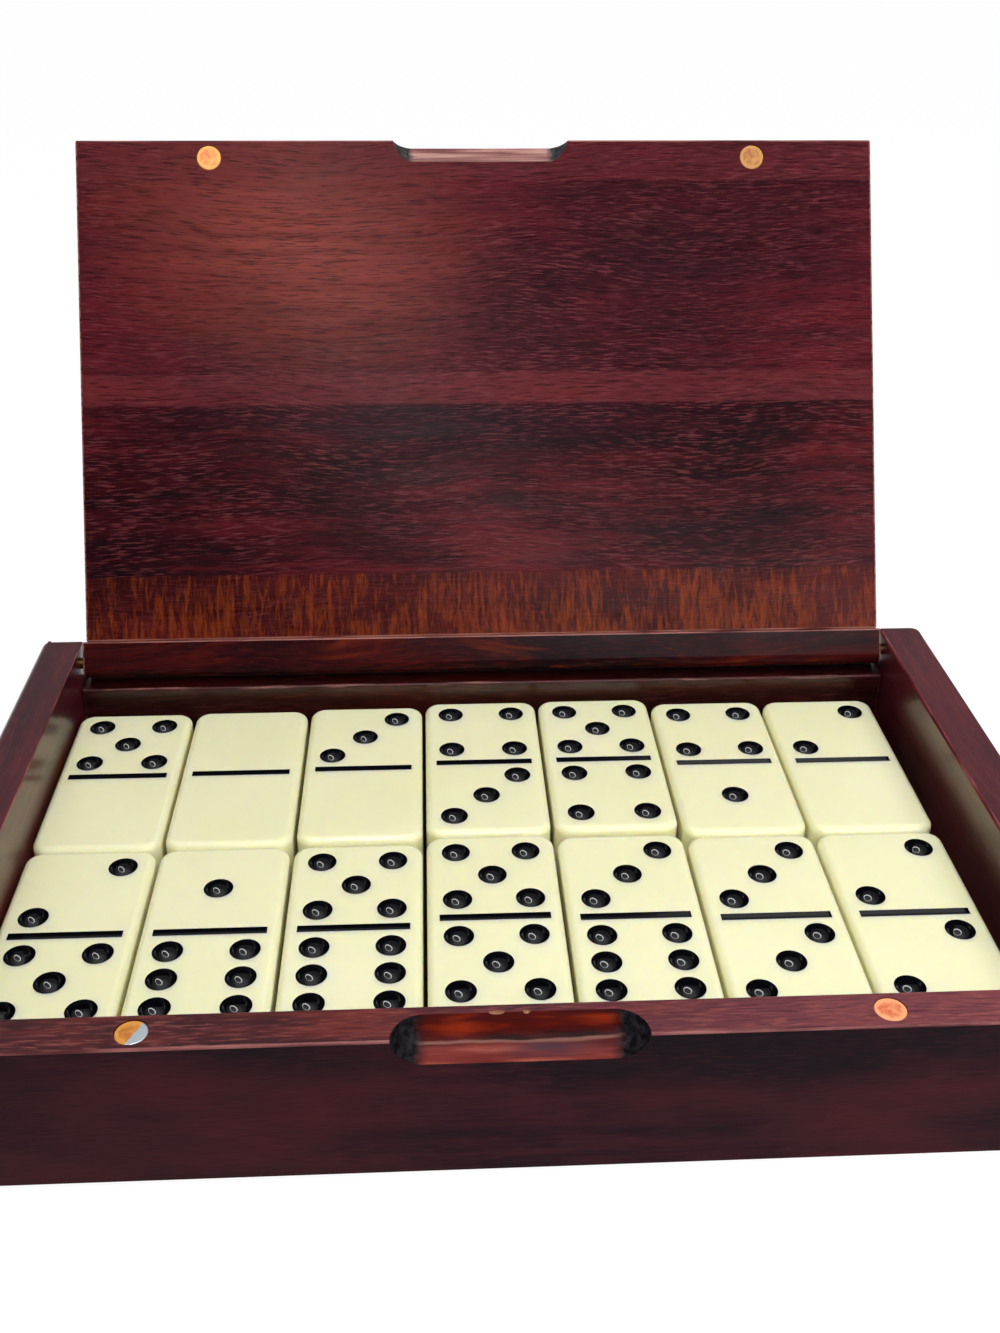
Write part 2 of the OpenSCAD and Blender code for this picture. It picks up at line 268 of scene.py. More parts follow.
class Wood(Finish):
    """Stained wood. Board coordinates start at origin, with the grain along X after the turn."""

    def __init__(self, name, origin=(0, 0, 0), turn=(0, 0, 0), seed=0.0, wander=0.0):
        super().__init__(name)
        self.board = self.place(origin=origin, turn=turn)
        self.axes = self.parts(self.board)
        self.seed = seed
        slope = self.noise(self.scaled(self.board, (14, 22, 22), (seed, 0, 0)), detail=1)
        drift = self.math("MULTIPLY", self.math("SUBTRACT", slope, 0.5), wander)
        lifted = self.node("ShaderNodeCombineXYZ", {"Y": drift})
        self.grain = self.node("ShaderNodeVectorMath", {0: self.board, 1: lifted.outputs[0]}).outputs[0]

    def along(self, lengthwise, crosswise, detail=2.0, roughness=0.55, distortion=0.0, shift=0.0):
        """Noise stretched along the grain, with so many features per metre each way."""
        scale = (lengthwise, crosswise, crosswise)
        at = (self.seed + shift, 1.7 * self.seed + shift, 0.6 * self.seed)
        return self.noise(self.scaled(self.grain, scale, at), 1.0, detail, roughness, distortion)

    def patch(self, centre, reach, lean=0.0):
        """1 in the middle of a soft oval and 0 outside it. lean turns the oval, in degrees."""
        moved = self.node("ShaderNodeVectorMath", {0: self.board, 1: centre}, operation="SUBTRACT")
        shape = self.node(
            "ShaderNodeMapping",
            {"Vector": moved.outputs[0], "Rotation": (0, 0, -math.radians(lean))},
        )
        oval = self.scaled(shape.outputs[0], [1 / r for r in reach])
        far = self.node("ShaderNodeVectorMath", {0: oval}, operation="LENGTH").outputs["Value"]
        return self.node(
            "ShaderNodeMapRange",
            {"Value": far, "From Min": 1.0, "From Max": 0.0},
            interpolation_type="SMOOTHSTEP",
        ).outputs[0]

    def band(self, low, high, blur, axis="Y", wobble=0.0):
        """1 between two places across the board, with soft sides."""
        place = self.axes[axis]
        if wobble:
            wave = self.math("SUBTRACT", self.along(30, 260, detail=2, shift=4.0), 0.5)
            place = self.math("ADD", place, self.math("MULTIPLY", wave, wobble))
        rise = self.step(place, low - blur, low + blur)
        fall = self.step(place, high - blur, high + blur)
        return self.math("SUBTRACT", rise, fall, clamp=True)

    def stain(self, tones, contrast=1.0):
        """The stained ground: clouds and streaks over a dark base."""
        cloud = self.along(16, 34, detail=3, distortion=0.5)
        streak = self.along(20, 420, detail=4, roughness=0.6)
        tone = self.math("ADD", self.math("MULTIPLY", cloud, 0.62), self.math("MULTIPLY", streak, 0.38))
        colour = self.ramp(
            tone,
            [(0.5 - 0.14 / contrast, tones[0]), (0.5, tones[1]), (0.5 + 0.14 / contrast, tones[2])],
        )
        return colour

    def fibres(self, colour, pale, dark, amount=1.0, length=260, thin=2500):
        """Short pale strokes and dark pores along the grain."""
        stroke = self.along(length, thin, detail=2, roughness=0.5, shift=7.0)
        pore = self.along(length * 0.7, thin * 1.2, detail=2, roughness=0.5, shift=11.0)
        where = self.along(60, 160, detail=2, shift=2.0)
        lift = self.ramp(stroke, [(0.50, 0.0), (0.66, 1.0)])
        lift = self.math("MULTIPLY", lift, self.ramp(where, [(0.34, 0.25 * amount), (0.62, 0.85 * amount)]))
        colour = self.mix(lift, colour, pale)
        return self.mix(self.ramp(pore, [(0.34, 0.8 * amount), (0.48, 0.0)]), colour, dark)

    def lacquer(self, colour, gloss=0.5, roughness=0.3, coat=0.0, coat_roughness=0.2, relief=0.035):
        """Clear satin lacquer over the stain; the open grain still shows as relief."""
        pores = self.along(300, 2300, detail=2, shift=9.0)
        ripple = self.along(40, 300, detail=2, shift=5.0)
        height = self.math("ADD", self.math("MULTIPLY", pores, 0.45), self.math("MULTIPLY", ripple, 0.55))
        rough = self.ramp(ripple, [(0.3, roughness - 0.04), (0.7, roughness + 0.06)])
        return self.shade(
            Base_Color=colour,
            Roughness=rough,
            Specular_IOR_Level=gloss,
            Coat_Weight=coat,
            Coat_Roughness=coat_roughness,
            Normal=self.bump(height, relief * MM, 0.5),
        )


STAIN_WINE = linear("#4a1218")
CHAR = linear("#0b0a0c")

# Lacquer on the magnets: side, tone in the middle, tone at the rim, and whether some is worn off
BOX_MAGNET_TONES = [("left", "#b06018", "#d8933c", True), ("right", "#c8502c", "#f0a070", False)]
LID_MAGNET_TONES = [("left", "#d86428", "#f4a850"), ("right", "#94501c", "#c08848")]


def lid_wood():
    """Inner face of the lid: glued strips under one stain, with a painted sheen towards the tip, paler at
    the upper left with part of a highlight painted in, flamed at the foot.
    """
    f = Wood("lid_wood", origin=PIN, turn=(-OPEN_TURN, 0, 0), seed=0.11, wander=9 * MM)
    colour = f.stain([linear("#1a050b"), linear("#350810"), linear("#531318")], contrast=1.5)
    # Painted sheen: the strips from the tip to the pale band are lightened towards a violet red.
    upper_sheen = f.band(PAST_TIP, PALE_BAND[0], STRIP_BLUR)
    colour = f.mix(f.math("MULTIPLY", upper_sheen, 0.3), colour, linear("#4c1a24"))
    # Paler wood at the upper left, with part of a broad soft highlight painted into the colour.
    pale_wood_and_highlight = f.patch((-42 * MM, -93 * MM, 0), (62 * MM, 40 * MM, 1), lean=22)
    grain = f.ramp(f.along(24, 500, detail=4, shift=12.0), [(0.36, 0.55), (0.62, 1.0)])
    colour = f.mix(f.math("MULTIPLY", pale_wood_and_highlight, grain), colour, linear("#7e382e"))
    veil = f.patch((32 * MM, -80 * MM, 0), (74 * MM, 30 * MM, 1), lean=-20)
    smoke = f.ramp(f.along(26, 60, detail=3, shift=3.0), [(0.36, 0.95), (0.66, 0.4)])
    veil = f.math("MULTIPLY", veil, smoke)
    colour = f.mix(veil, colour, linear("#2c1019"))
    shade = f.patch((-4 * MM, -55 * MM, 0), (88 * MM, 11 * MM, 1))
    shade = f.math("MULTIPLY", f.band(PALE_BAND[1], DARK_BAND_END, 1.2 * MM), shade)
    colour = f.mix(f.math("MULTIPLY", shade, 0.9), colour, linear("#200c16"))
    glued = f.math("MULTIPLY", f.band(*PALE_BAND, STRIP_BLUR), 0.6)
    colour = f.mix(glued, colour, linear("#64262a"))
    tip = f.math("MULTIPLY", f.band(PAST_TIP, TIP_STRIP, 0.3 * MM, wobble=4 * MM), 0.5)
    colour = f.mix(tip, colour, linear("#5c2226"))
    colour = f.fibres(colour, linear("#683034"), linear("#10040a"), 0.8, length=300, thin=2800)
    foot = f.band(FOOT_STRIP, 0, 0.3 * MM)
    flame = f.noise(f.scaled(f.board, (1150, 170, 170)), 1.0, 4, 0.65, 0.4)
    tall = f.noise(f.scaled(f.board, (60, 40, 40)), 1.0, 2)
    low = f.step(f.axes["Y"], *FLAME_RISE)
    heat = f.math("ADD", flame, f.math("MULTIPLY", low, 0.10))
    heat = f.math("ADD", heat, f.math("MULTIPLY", f.math("SUBTRACT", tall, 0.5), 0.35))
    colour = f.mix(f.math("MULTIPLY", foot, 0.5), colour, linear("#380c09"))
    lick = f.math("MULTIPLY", foot, f.ramp(heat, [(0.50, 0.0), (0.84, 0.6)]))
    colour = f.mix(lick, colour, linear("#98400f"))
    return f.lacquer(colour, gloss=0.05, roughness=0.3, relief=0.045)


def plain_wood(name, tones, origin=(0, 0, 0), turn=(0, 0, 0), seed=0.0, fibre=0.6, **lacquer):
    """Stained wood without a special place in it."""
    f = Wood(name, origin=origin, turn=turn, seed=seed, wander=5 * MM)
    colour = f.fibres(f.stain(tones), linear("#733a36"), linear("#14060c"), fibre)
    return f.lacquer(colour, **lacquer)


def rail_wood():
    """Hinge rail: deep red with dark slashes of figure."""
    f = Wood("rail_wood", origin=PIN, turn=(-OPEN_TURN, 0, 0), seed=3.7, wander=14 * MM)
    colour = f.stain([linear("#17060b"), linear("#32090b"), linear("#4c120f")], contrast=1.3)
    figure = f.along(30, 240, detail=3, distortion=0.8, shift=6.0)
    colour = f.mix(f.ramp(figure, [(0.36, 0.85), (0.52, 0.0)]), colour, linear("#12070e"))
    colour = f.mix(f.ramp(figure, [(0.58, 0.0), (0.72, 0.75)]), colour, linear("#74290f"))
    colour = f.fibres(colour, linear("#561c16"), linear("#0e0508"), 0.5)
    return f.lacquer(colour, gloss=0.05, roughness=0.26)


def front_wood():
    """Front wall: near-black plum face with redder patches, and a top painted lighter, as lit from above,
    that is rosier to the right.
    """
    f = Wood("front_wood", turn=(math.radians(90), 0, 0), seed=1.43, wander=3 * MM)
    face = f.stain([linear("#120810"), linear("#1e0913"), linear("#341019")], contrast=1.8)
    redder = f.ramp(f.along(18, 60, detail=3, shift=1.0), [(0.40, 0.0), (0.66, 0.8)])
    face = f.mix(redder, face, linear("#45171c"))
    face = f.fibres(face, linear("#421c22"), linear("#160a10"), 0.5)
    # Painted light: the top gets lighter tones than the face, as light from above falls on it, and rosier
    # ones to the right.
    lit_top = f.stain([linear("#2c0f17"), linear("#4a161a"), linear("#742b25")], contrast=1.8)
    rosier = f.math("MULTIPLY", f.step(f.axes["X"], -30 * MM, 60 * MM), 0.6)
    lit_top = f.mix(rosier, lit_top, linear("#84424a"))
    lit_top = f.fibres(lit_top, linear("#94504a"), linear("#2e0e16"), 0.75)
    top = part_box("front_wall")[1].z
    height = f.parts(f.place())["Z"]
    over = f.step(height, top - 0.5 * MM, top - 0.2 * MM)
    colour = f.mix(over, face, lit_top)
    shine = f.math("MULTIPLY", over, 0.6)
    return f.lacquer(colour, gloss=0.05, roughness=0.38, coat=shine, coat_roughness=0.3)


def rubbed_and_highlit_wood(name, tone="#8a4a42", turn=(0, 0, 0), origin=(0, 0, 0)):
    """Edges where the stain is rubbed thin, with a painted highlight along the arris; also bare wood in the
    chips.
    """
    f = Wood(name, origin=origin, turn=turn, seed=5.1)
    rubbing_and_highlight = f.along(70, 900, detail=3)
    colour = f.ramp(rubbing_and_highlight, [(0.36, STAIN_WINE), (0.52, linear(tone)), (0.74, linear("#9a625a"))])
    return f.lacquer(colour, gloss=0.3, roughness=0.35)


def pocket_wood():
    """Inside the pocket: darker maroon back and lighter salmon floor with a violet bruise, a painted
    highlight along the crease between them, and charred ends.
    """
    low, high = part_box("front_wall")
    f = Wood("pocket_wood", origin=(GRIP_X, low.y, high.z), seed=6.3)
    across = f.axes["Y"]
    wave = f.math("MULTIPLY", f.math("SUBTRACT", f.along(60, 300, detail=3), 0.5), 1.6 * MM)
    across = f.math("ADD", across, wave)
    maroon = [(0.38, linear("#220607")), (0.56, linear("#4c0f0a")), (0.70, linear("#84280e"))]
    salmon = [(0.36, linear("#4e1614")), (0.56, linear("#74302a")), (0.70, linear("#9a5044"))]
    back = f.ramp(f.along(45, 300, detail=3, shift=2.0), maroon)
    floor = f.ramp(f.along(50, 500, detail=3, shift=8.0), salmon)
    bruise = f.patch((5 * MM, 2.2 * MM, -5 * MM), (13 * MM, 2.2 * MM, 9 * MM))
    bruise = f.math("MULTIPLY", bruise, f.ramp(f.along(160, 900, detail=3), [(0.35, 1.0), (0.65, 0.4)]))
    floor = f.mix(bruise, floor, linear("#3c2c38"))
    behind = f.step(across, *CREASE)
    colour = f.mix(behind, floor, back)
    # Painted highlight: a pale line along the crease where the floor turns into the back.
    crease_highlight = f.math("MULTIPLY", behind, f.math("SUBTRACT", 1.0, behind))
    colour = f.mix(f.math("MULTIPLY", crease_highlight, 2.6), colour, linear("#8a6258"))
    ends = f.math("ABSOLUTE", f.axes["X"])
    ends = f.math("ADD", ends, f.math("MULTIPLY", wave, 1.2))
    char = f.step(ends, *POCKET_CHAR)
    speckle = f.noise(f.scaled(f.board, (900, 900, 900)), 1.0, 3)
    soot = f.ramp(speckle, [(0.40, CHAR), (0.72, linear("#2a282c"))])
    colour = f.mix(char, colour, soot)
    return f.lacquer(colour, gloss=0.06, roughness=0.36, relief=0.09)


def notch_wood():
    """Cove of the lid's notch: bare pinkish wood with scorched ends."""
    f = Wood("notch_wood", origin=PIN, turn=(-OPEN_TURN, 0, 0), seed=7.9)
    pink = [(0.36, linear("#6e3c3c")), (0.52, linear("#a06e68")), (0.70, linear("#c09a8e"))]
    colour = f.ramp(f.along(50, 900, detail=3), pink)
    ends = f.math("ABSOLUTE", f.math("SUBTRACT", f.axes["X"], GRIP_X))
    wave = f.math("MULTIPLY", f.math("SUBTRACT", f.along(200, 300, detail=3), 0.5), 2.5 * MM)
    ends = f.math("ADD", ends, wave)
    char = f.step(ends, *NOTCH_CHAR)
    speckle = f.noise(f.scaled(f.board, (800, 800, 800)), 1.0, 3)
    soot = f.ramp(speckle, [(0.40, CHAR), (0.66, linear("#4a4648"))])
    return f.lacquer(f.mix(char, colour, soot), gloss=0.3, roughness=0.45)


def ivory_resin():
    """Polished cream resin: a little cloudy, warmer where it is thick."""
    f = Finish("ivory_resin")
    here = f.place()
    cloud = f.noise(f.scaled(here, (40, 40, 40)), detail=3)
    scuff = f.noise(f.scaled(here, (900, 900, 900)), detail=2)
    colour = f.ramp(cloud, [(0.3, linear("#ebe9bf")), (0.7, linear("#efecc7"))])
    return f.shade(
        Base_Color=colour,
        Roughness=f.ramp(scuff, [(0.35, 0.16), (0.7, 0.24)]),
        Subsurface_Weight=0.8,
        Subsurface_Radius=(1.0, 0.8, 0.3),
        Subsurface_Scale=3.5 * MM,
        Coat_Weight=0.2,
        Coat_Roughness=0.08,
    )


def black_enamel():
    """Glossy black paint in the pips and the bars."""
    f = Finish("black_enamel")
    skin = f.noise(f.place(scale=(700, 700, 700)), detail=2)
    return f.shade(
        Base_Color=f.ramp(skin, [(0.3, linear("#050508")), (0.7, linear("#0a0a10"))]),
        Roughness=0.06,
        Specular_IOR_Level=0.5,
        Normal=f.bump(skin, 0.01 * MM, 0.3),
    )


def magnet_lacquer(name, middle, centre, rim, bare=False):
    """Plated disc under a smear of amber lacquer that is thin at the rim."""
    f = Finish(name)
    here = f.place(origin=middle)
    smear = f.noise(here, 420, 4, 0.6, 0.6)
    colour = f.ramp(smear, [(0.34, linear(centre)), (0.60, linear(rim))])
    out = f.node("ShaderNodeVectorMath", {0: here}, operation="LENGTH").outputs["Value"]
    wave = f.math("MULTIPLY", f.math("SUBTRACT", smear, 0.5), 0.9 * MM)
    out = f.math("ADD", out, wave)
    colour = f.mix(f.step(out, *MAGNET_RIM), colour, linear(rim))
    if bare:
        across = f.parts(here)
        wear_and_highlight = f.math("SUBTRACT", across["X"], f.math("MULTIPLY", across["Y"], 0.5))
        wear_and_highlight = f.math("ADD", wear_and_highlight, wave)
        wear_and_highlight = f.step(wear_and_highlight, *MAGNET_BARE)
        colour = f.mix(wear_and_highlight, colour, linear("#c9d4da"))
        f.put(f.shader.inputs["Metallic"], f.math("MULTIPLY", wear_and_highlight, 0.6))
    return f.shade(Base_Color=colour, Roughness=0.34, Coat_Weight=0.3, Coat_Roughness=0.14)


def hinge_brass():
    f = Finish("hinge_brass")
    turned = f.noise(f.place(scale=(60, 2200, 2200)), detail=2)
    colour = f.ramp(turned, [(0.3, linear("#4a3718")), (0.7, linear("#80673a"))])
    return f.shade(Base_Color=colour, Metallic=1.0, Roughness=0.34, Normal=f.bump(turned, 0.02 * MM))


# Modelling helpers


def deselect_all():
    for other in list(bpy.context.selected_objects):
        other.select_set(False)


def only(obj):
    """Makes obj the only selected object, and the active one."""
    deselect_all()
    obj.select_set(True)
    bpy.context.view_layer.objects.active = obj
    return obj


def settle(obj):
    """Puts the object's place, turn and size into its mesh."""
    only(obj)
    bpy.ops.object.transform_apply(location=True, rotation=True, scale=True)
    return obj


def added(name):
    """The primitive that was just added, named, with its place in its mesh."""
    obj = bpy.context.active_object
    obj.name = name
    return settle(obj)


def edit(obj, edges=None, verts=None):
    """Opens edit mode with the edges or vertices selected for which the test is true."""
    only(obj)
    mesh = obj.data
    for kind in (mesh.polygons, mesh.edges, mesh.vertices):
        kind.foreach_set("select", [False] * len(kind))
    for e in mesh.edges if edges else []:
        ends = [mesh.vertices[v] for v in e.vertices]
        if edges(ends[0].co, ends[1].co):
            e.select = True
            for v in ends:
                v.select = True
    for v in mesh.vertices if verts else []:
        v.select = verts(v.co)
    bpy.ops.object.mode_set(mode="EDIT")
    bpy.ops.mesh.select_mode(type="EDGE" if edges else "VERT")


def leave_edit():
    bpy.ops.object.mode_set(mode="OBJECT")


def same(a, b):
    return abs(a - b) < 1e-6


def block(name, low, high):
    """A box between two corners."""
    deselect_all()
    bpy.ops.mesh.primitive_cube_add(size=1, location=(Vector(low) + Vector(high)) / 2)
    bpy.context.active_object.scale = Vector(high) - Vector(low)
    return added(name)


def rod(name, middle, radius, length, sides=48):
    """A cylinder along X."""
    deselect_all()
    across = (0, math.radians(90), 0)
    bpy.ops.mesh.primitive_cylinder_add(
        vertices=sides, radius=radius, depth=length, location=middle, rotation=across
    )
    return added(name)


def disc(name, middle, radius, thick, sides=56):
    """A cylinder along Z."""
    deselect_all()
    bpy.ops.mesh.primitive_cylinder_add(vertices=sides, radius=radius, depth=thick, location=middle)
    return added(name)


def ball(name, middle, radius, scale=(1, 1, 1), turn=(0, 0, 0)):
    deselect_all()
    bpy.ops.mesh.primitive_uv_sphere_add(
        segments=48, ring_count=24, radius=radius, location=middle, rotation=turn
    )
    bpy.context.active_object.scale = scale
    return added(name)


def capsule(name, middle, flat, radius, end):
    """A rod along X with domed ends: its straight part is flat long, and each dome end long."""
    rounded = ball(name, (0, 0, 0), radius, turn=(0, math.radians(90), 0))
    rounded.scale = (end / radius, 1, 1)
    settle(rounded)
    for side in (-1, 1):
        edit(rounded, verts=lambda v: v.x * side > 1e-7)
        bpy.ops.transform.translate(value=(side * flat / 2, 0, 0))
        leave_edit()
    rounded.location = middle
    return settle(rounded)


def round_edges(obj, test, radius, segments):
    """Rounds the edges of obj for which test(a, b) is true of their ends."""
    edit(obj, edges=test)
    bpy.ops.mesh.bevel(offset=radius, segments=segments, affect="EDGES", clamp_overlap=False)
    leave_edit()


def combine(obj, tool, operation):
    """A boolean that keeps the tool's material on the faces it makes."""
    only(obj)
    join = obj.modifiers.new(operation, "BOOLEAN")
    join.operation = operation
    join.solver = "EXACT"
    join.object = tool
    join.material_mode = "TRANSFER"
    bpy.ops.object.modifier_apply(modifier=join.name)
    bpy.data.objects.remove(tool)


def cut_out(obj, tool, material=None):
    if material:
        tool.data.materials.append(material)
    combine(obj, tool, "DIFFERENCE")


def ease(obj, width, segments=3, wear_and_highlight=None):
    """Rounds every sharp edge a little; the edge material given shows along them, as rubbed stain with a
    painted highlight.
    """
    only(obj)
    if wear_and_highlight:
        obj.data.materials.append(wear_and_highlight)
    bevel = obj.modifiers.new("ease", "BEVEL")
    bevel.width = width
    bevel.segments = segments
    bevel.limit_method = "ANGLE"
    bevel.angle_limit = math.radians(40)
    bevel.material = 1 if wear_and_highlight else -1
    bpy.ops.object.modifier_apply(modifier=bevel.name)


def smooth(obj, angle=35):
    """Smooth shading that keeps flat faces flat."""
    only(obj)
    bpy.ops.object.shade_smooth_by_angle(angle=math.radians(angle))
    level = obj.modifiers.new("level", "WEIGHTED_NORMAL")
    level.keep_sharp = True
    bpy.ops.object.modifier_apply(modifier=level.name)


def stand_for(obj, node):
    """Finishes obj and puts it in the place of a CAD node."""
    smooth(obj)
    obj.name = node + "_model"
    obj.data.name = obj.name
    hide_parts(node)
    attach(obj, frame["nodes"][node]["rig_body"])
    return obj


# Box


def make_side_wall(node, side, wood, wear_and_highlight):
    low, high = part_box(node)
    outer = low.x if side < 0 else high.x
    wall = block(node, low, high)
    wall.data.materials.append(wood)

    def is_outer_upright(a, b):
        return same(a.x, outer) and same(b.x, outer) and not same(a.z, b.z)

    def is_at_foot(a, b):
        return same(a.z, low.z) and same(b.z, low.z)

    round_edges(wall, is_outer_upright, UPRIGHT_ROUND, 8)
    round_edges(wall, is_at_foot, FOOT_CHAMFER, 1)
    ease(wall, EASED, wear_and_highlight=wear_and_highlight)
    cut_out(wall, rod("bore", (outer, PIN.y, PIN.z), PIN_R, BORE_LONG))
    stand_for(wall, node)


def make_front_wall(wood, wear_and_highlight, pocket_finish, bare):
    low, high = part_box("front_wall")
    wall = block("front_wall", low, high)
    wall.data.materials.append(wood)

    def is_front_foot(a, b):
        return all(same(v.z, low.z) and same(v.y, low.y) for v in (a, b))

    def is_top_arris(a, b):
        return same(a.z, high.z) and same(b.z, high.z) and same(a.y, b.y)

    round_edges(wall, is_front_foot, FOOT_CHAMFER, 1)
    round_edges(wall, is_top_arris, FRONT_EASED, 4)
    # The slanted faces of the front top arris take the edge material: rubbed stain with a painted highlight.
    for face in wall.data.polygons:
        slanted = 0.05 < abs(face.normal.z) < 0.99
        face.material_index = 0
        if slanted and face.center.z > high.z / 2 and face.center.y < 0.5 * (low.y + high.y):
            face.material_index = 1
    wall.data.materials.append(wear_and_highlight)
    centre = Vector((GRIP_X, low.y + POCKET_SHIFT, high.z + POCKET_SHIFT))
    cut_out(wall, capsule("pocket", centre, POCKET_FLAT, POCKET_R, POCKET_R), pocket_finish)
    for x, reach in CHIPS:
        rim = Vector((GRIP_X + x, centre.y + POCKET_R, high.z))
        chip = ball("chip", rim, 1, scale=(reach, CHIP_WIDE, CHIP_DEEP))
        cut_out(wall, chip, bare)
    for side in ("left", "right"):
        cut_magnet_hole(wall, box_magnet_middle(side), 1)
    stand_for(wall, "front_wall")


def box_magnet_middle(side):
    low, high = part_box(side + "_box_magnet")
    return (low + high) / 2


def lid_magnet_middle(side):
    """Middle of a lid magnet with the lid closed."""
    low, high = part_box(side + "_lid_magnet")
    return TO_CLOSED @ ((low + high) / 2)


def cut_magnet_hole(obj, middle, mouth):
    """mouth is 1 for a hole that opens upwards and -1 for one that opens downwards."""
    bottom = middle.z - mouth * MAGNET_THICK / 2
    depth = 2 * MAGNET_HOLE_DEEP
    cut_out(obj, disc("hole", (middle.x, middle.y, bottom + mouth * depth / 2), MAGNET_HOLE_R, depth))


def make_board(node, wood, wear_and_highlight):
    board = block(node, *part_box(node))
    board.data.materials.append(wood)
    ease(board, EASED, wear_and_highlight=wear_and_highlight)
    stand_for(board, node)


# Lid, modelled closed and then opened


def open_lid(obj):
    obj.data.transform(TO_OPEN)
    obj.data.update()


def closed_corners(node, front, back):
    """Corners of a board of the closed lid, from a distance before the pins to one behind them."""
    low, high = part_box(node)
    half = LID_THICK / 2
    return Vector((low.x, PIN.y - front, PIN.z - half)), Vector((high.x, PIN.y + back, PIN.z + half))


def make_notch_tool(low):
    """A wide domed rod below the lid's tip, which leaves a lip at the lid's outer face."""
    reach = math.sqrt(NOTCH_R**2 - NOTCH_LOW**2)
    centre = (GRIP_X, low.y + NOTCH_DEEP - reach, low.z - NOTCH_LOW)
    return capsule("notch", centre, NOTCH_FLAT, NOTCH_R, NOTCH_END)


def make_lid_board(wood, wear_and_highlight, cove):
    tip = PIN.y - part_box("front_wall")[0].y
    low, high = closed_corners("lid_board", tip, -RAIL_FRONT)
    board = block("lid_board", low, high)
    board.data.materials.append(wood)
    ease(board, LID_EASED, wear_and_highlight=wear_and_highlight)
    cut_out(board, make_notch_tool(low), cove)
    for side in ("left", "right"):
        cut_magnet_hole(board, lid_magnet_middle(side), -1)
    open_lid(board)
    stand_for(board, "lid_board")


def make_hinge_rail(wood, wear_and_highlight):
    low, high = closed_corners("hinge_rail", RAIL_FRONT, RAIL_TAIL)
    rail = block("hinge_rail", low, high)
    rail.data.materials.append(wood)

    def is_under_tail(a, b):
        return all(same(v.y, high.y) and same(v.z, low.z) for v in (a, b))

    round_edges(rail, is_under_tail, RAIL_TAIL_ROUND, 12)
    # The rail's edges take the edge material; along its front edge this makes a painted highlight line.
    ease(rail, LID_EASED, wear_and_highlight=wear_and_highlight)
    open_lid(rail)
    stand_for(rail, "hinge_rail")


def make_magnet(node, finish, middle, on_lid):
    magnet = disc(node, middle, MAGNET_R, MAGNET_THICK)
    magnet.data.materials.append(finish)
    ease(magnet, MAGNET_EASED)
    if on_lid:
        open_lid(magnet)
    stand_for(magnet, node)


def make_pin(node, brass):
    low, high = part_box(node)
    pin = rod(node, (low + high) / 2, PIN_R, high.x - low.x)
    pin.data.materials.append(brass)
    ease(pin, PIN_EASED)
    stand_for(pin, node)


# Tiles


def pip_places(count):
    """Columns (x) and rows (y) of the pips on one half, from its middle."""
    two = [(1, 1), (-1, -1)]
    four = two + [(-1, 1), (1, -1)]
    middle = [(0, 0)]
    six = four + [(-1, 0), (1, 0)]
    return [[], middle, two, two + middle, four, four + middle, six][count]


def make_tile_blank(size, ivory):
    """A rounded tile, its middle at x = y = 0, lying on z = 0."""
    blank = block("tile", (-size.x / 2, -size.y / 2, 0), (size.x / 2, size.y / 2, size.z))
    blank.data.materials.append(ivory)
    round_edges(blank, lambda a, b: not same(a.z, b.z), TILE_CORNER, 12)
    round_edges(blank, lambda a, b: same(a.z, b.z) and (same(a.z, 0) or same(a.z, size.z)), TILE_EDGE, 8)
    return blank


def pip_ball_radius():
    """Radius of the ball whose dish has the pips' rim and depth."""
    return (PIP_RIM_R**2 + PIP_DEEP**2) / (2 * PIP_DEEP)


def make_dish_tools(far, near, thick):
    """One cutter for the bar and all the pips of a tile."""
    half = Vector((BAR_LONG / 2, BAR_WIDE / 2, BAR_DEEP))
    tools = [block("bar", Vector((0, 0, thick)) - half, Vector((0, 0, thick)) + half)]
    for count, side in ((far, 1), (near, -1)):
        for column, row in pip_places(count):
            place = (column * PIP_X, side * PIP_MIDDLE + row * PIP_Y, thick + pip_ball_radius() - PIP_DEEP)
            tools.append(ball("pip", place, pip_ball_radius()))
    deselect_all()
    for tool in tools:
        tool.select_set(True)
    bpy.context.view_layer.objects.active = tools[0]
    bpy.ops.object.join()
    return bpy.context.active_object


def make_tile(far, near, blank, enamel):
    node = f"tile_{min(far, near)}_{max(far, near)}"
    low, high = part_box(node)
    tile = blank.copy()
    tile.data = blank.data.copy()
    bpy.context.scene.collection.objects.link(tile)
    cut_out(tile, make_dish_tools(far, near, high.z - low.z), enamel)
    tile.location = ((low.x + high.x) / 2, (low.y + high.y) / 2, low.z)
    settle(tile)
    stand_for(tile, node)


def make_tiles(ivory, enamel):
    low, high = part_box("tile_0_0")
    blank = make_tile_blank(high - low, ivory)
    for far, near in BACK_TOP + FRONT_TOP + BACK_LOW + FRONT_LOW:
        make_tile(far, near, blank, enamel)
    bpy.data.objects.remove(blank)


# Studio


def make_camera():
    data = bpy.data.cameras.new("camera")
    data.sensor_fit = "VERTICAL"
    data.sensor_height = SENSOR
    data.lens = FOCAL_PIXELS / PHOTO_HEIGHT * SENSOR
    data.clip_start = 0.01
    camera = bpy.data.objects.new("camera", data)
    bpy.context.scene.collection.objects.link(camera)
    yaw = Matrix.Rotation(-math.radians(CAMERA_YAW), 4, "Z")
    tilt = Matrix.Rotation(math.radians(90 - CAMERA_PITCH), 4, "X")
    roll = Matrix.Rotation(math.radians(CAMERA_ROLL), 4, "Z")
    camera.matrix_world = Matrix.Translation(CAMERA_AT) @ yaw @ tilt @ roll
    bpy.context.scene.camera = camera
    return camera


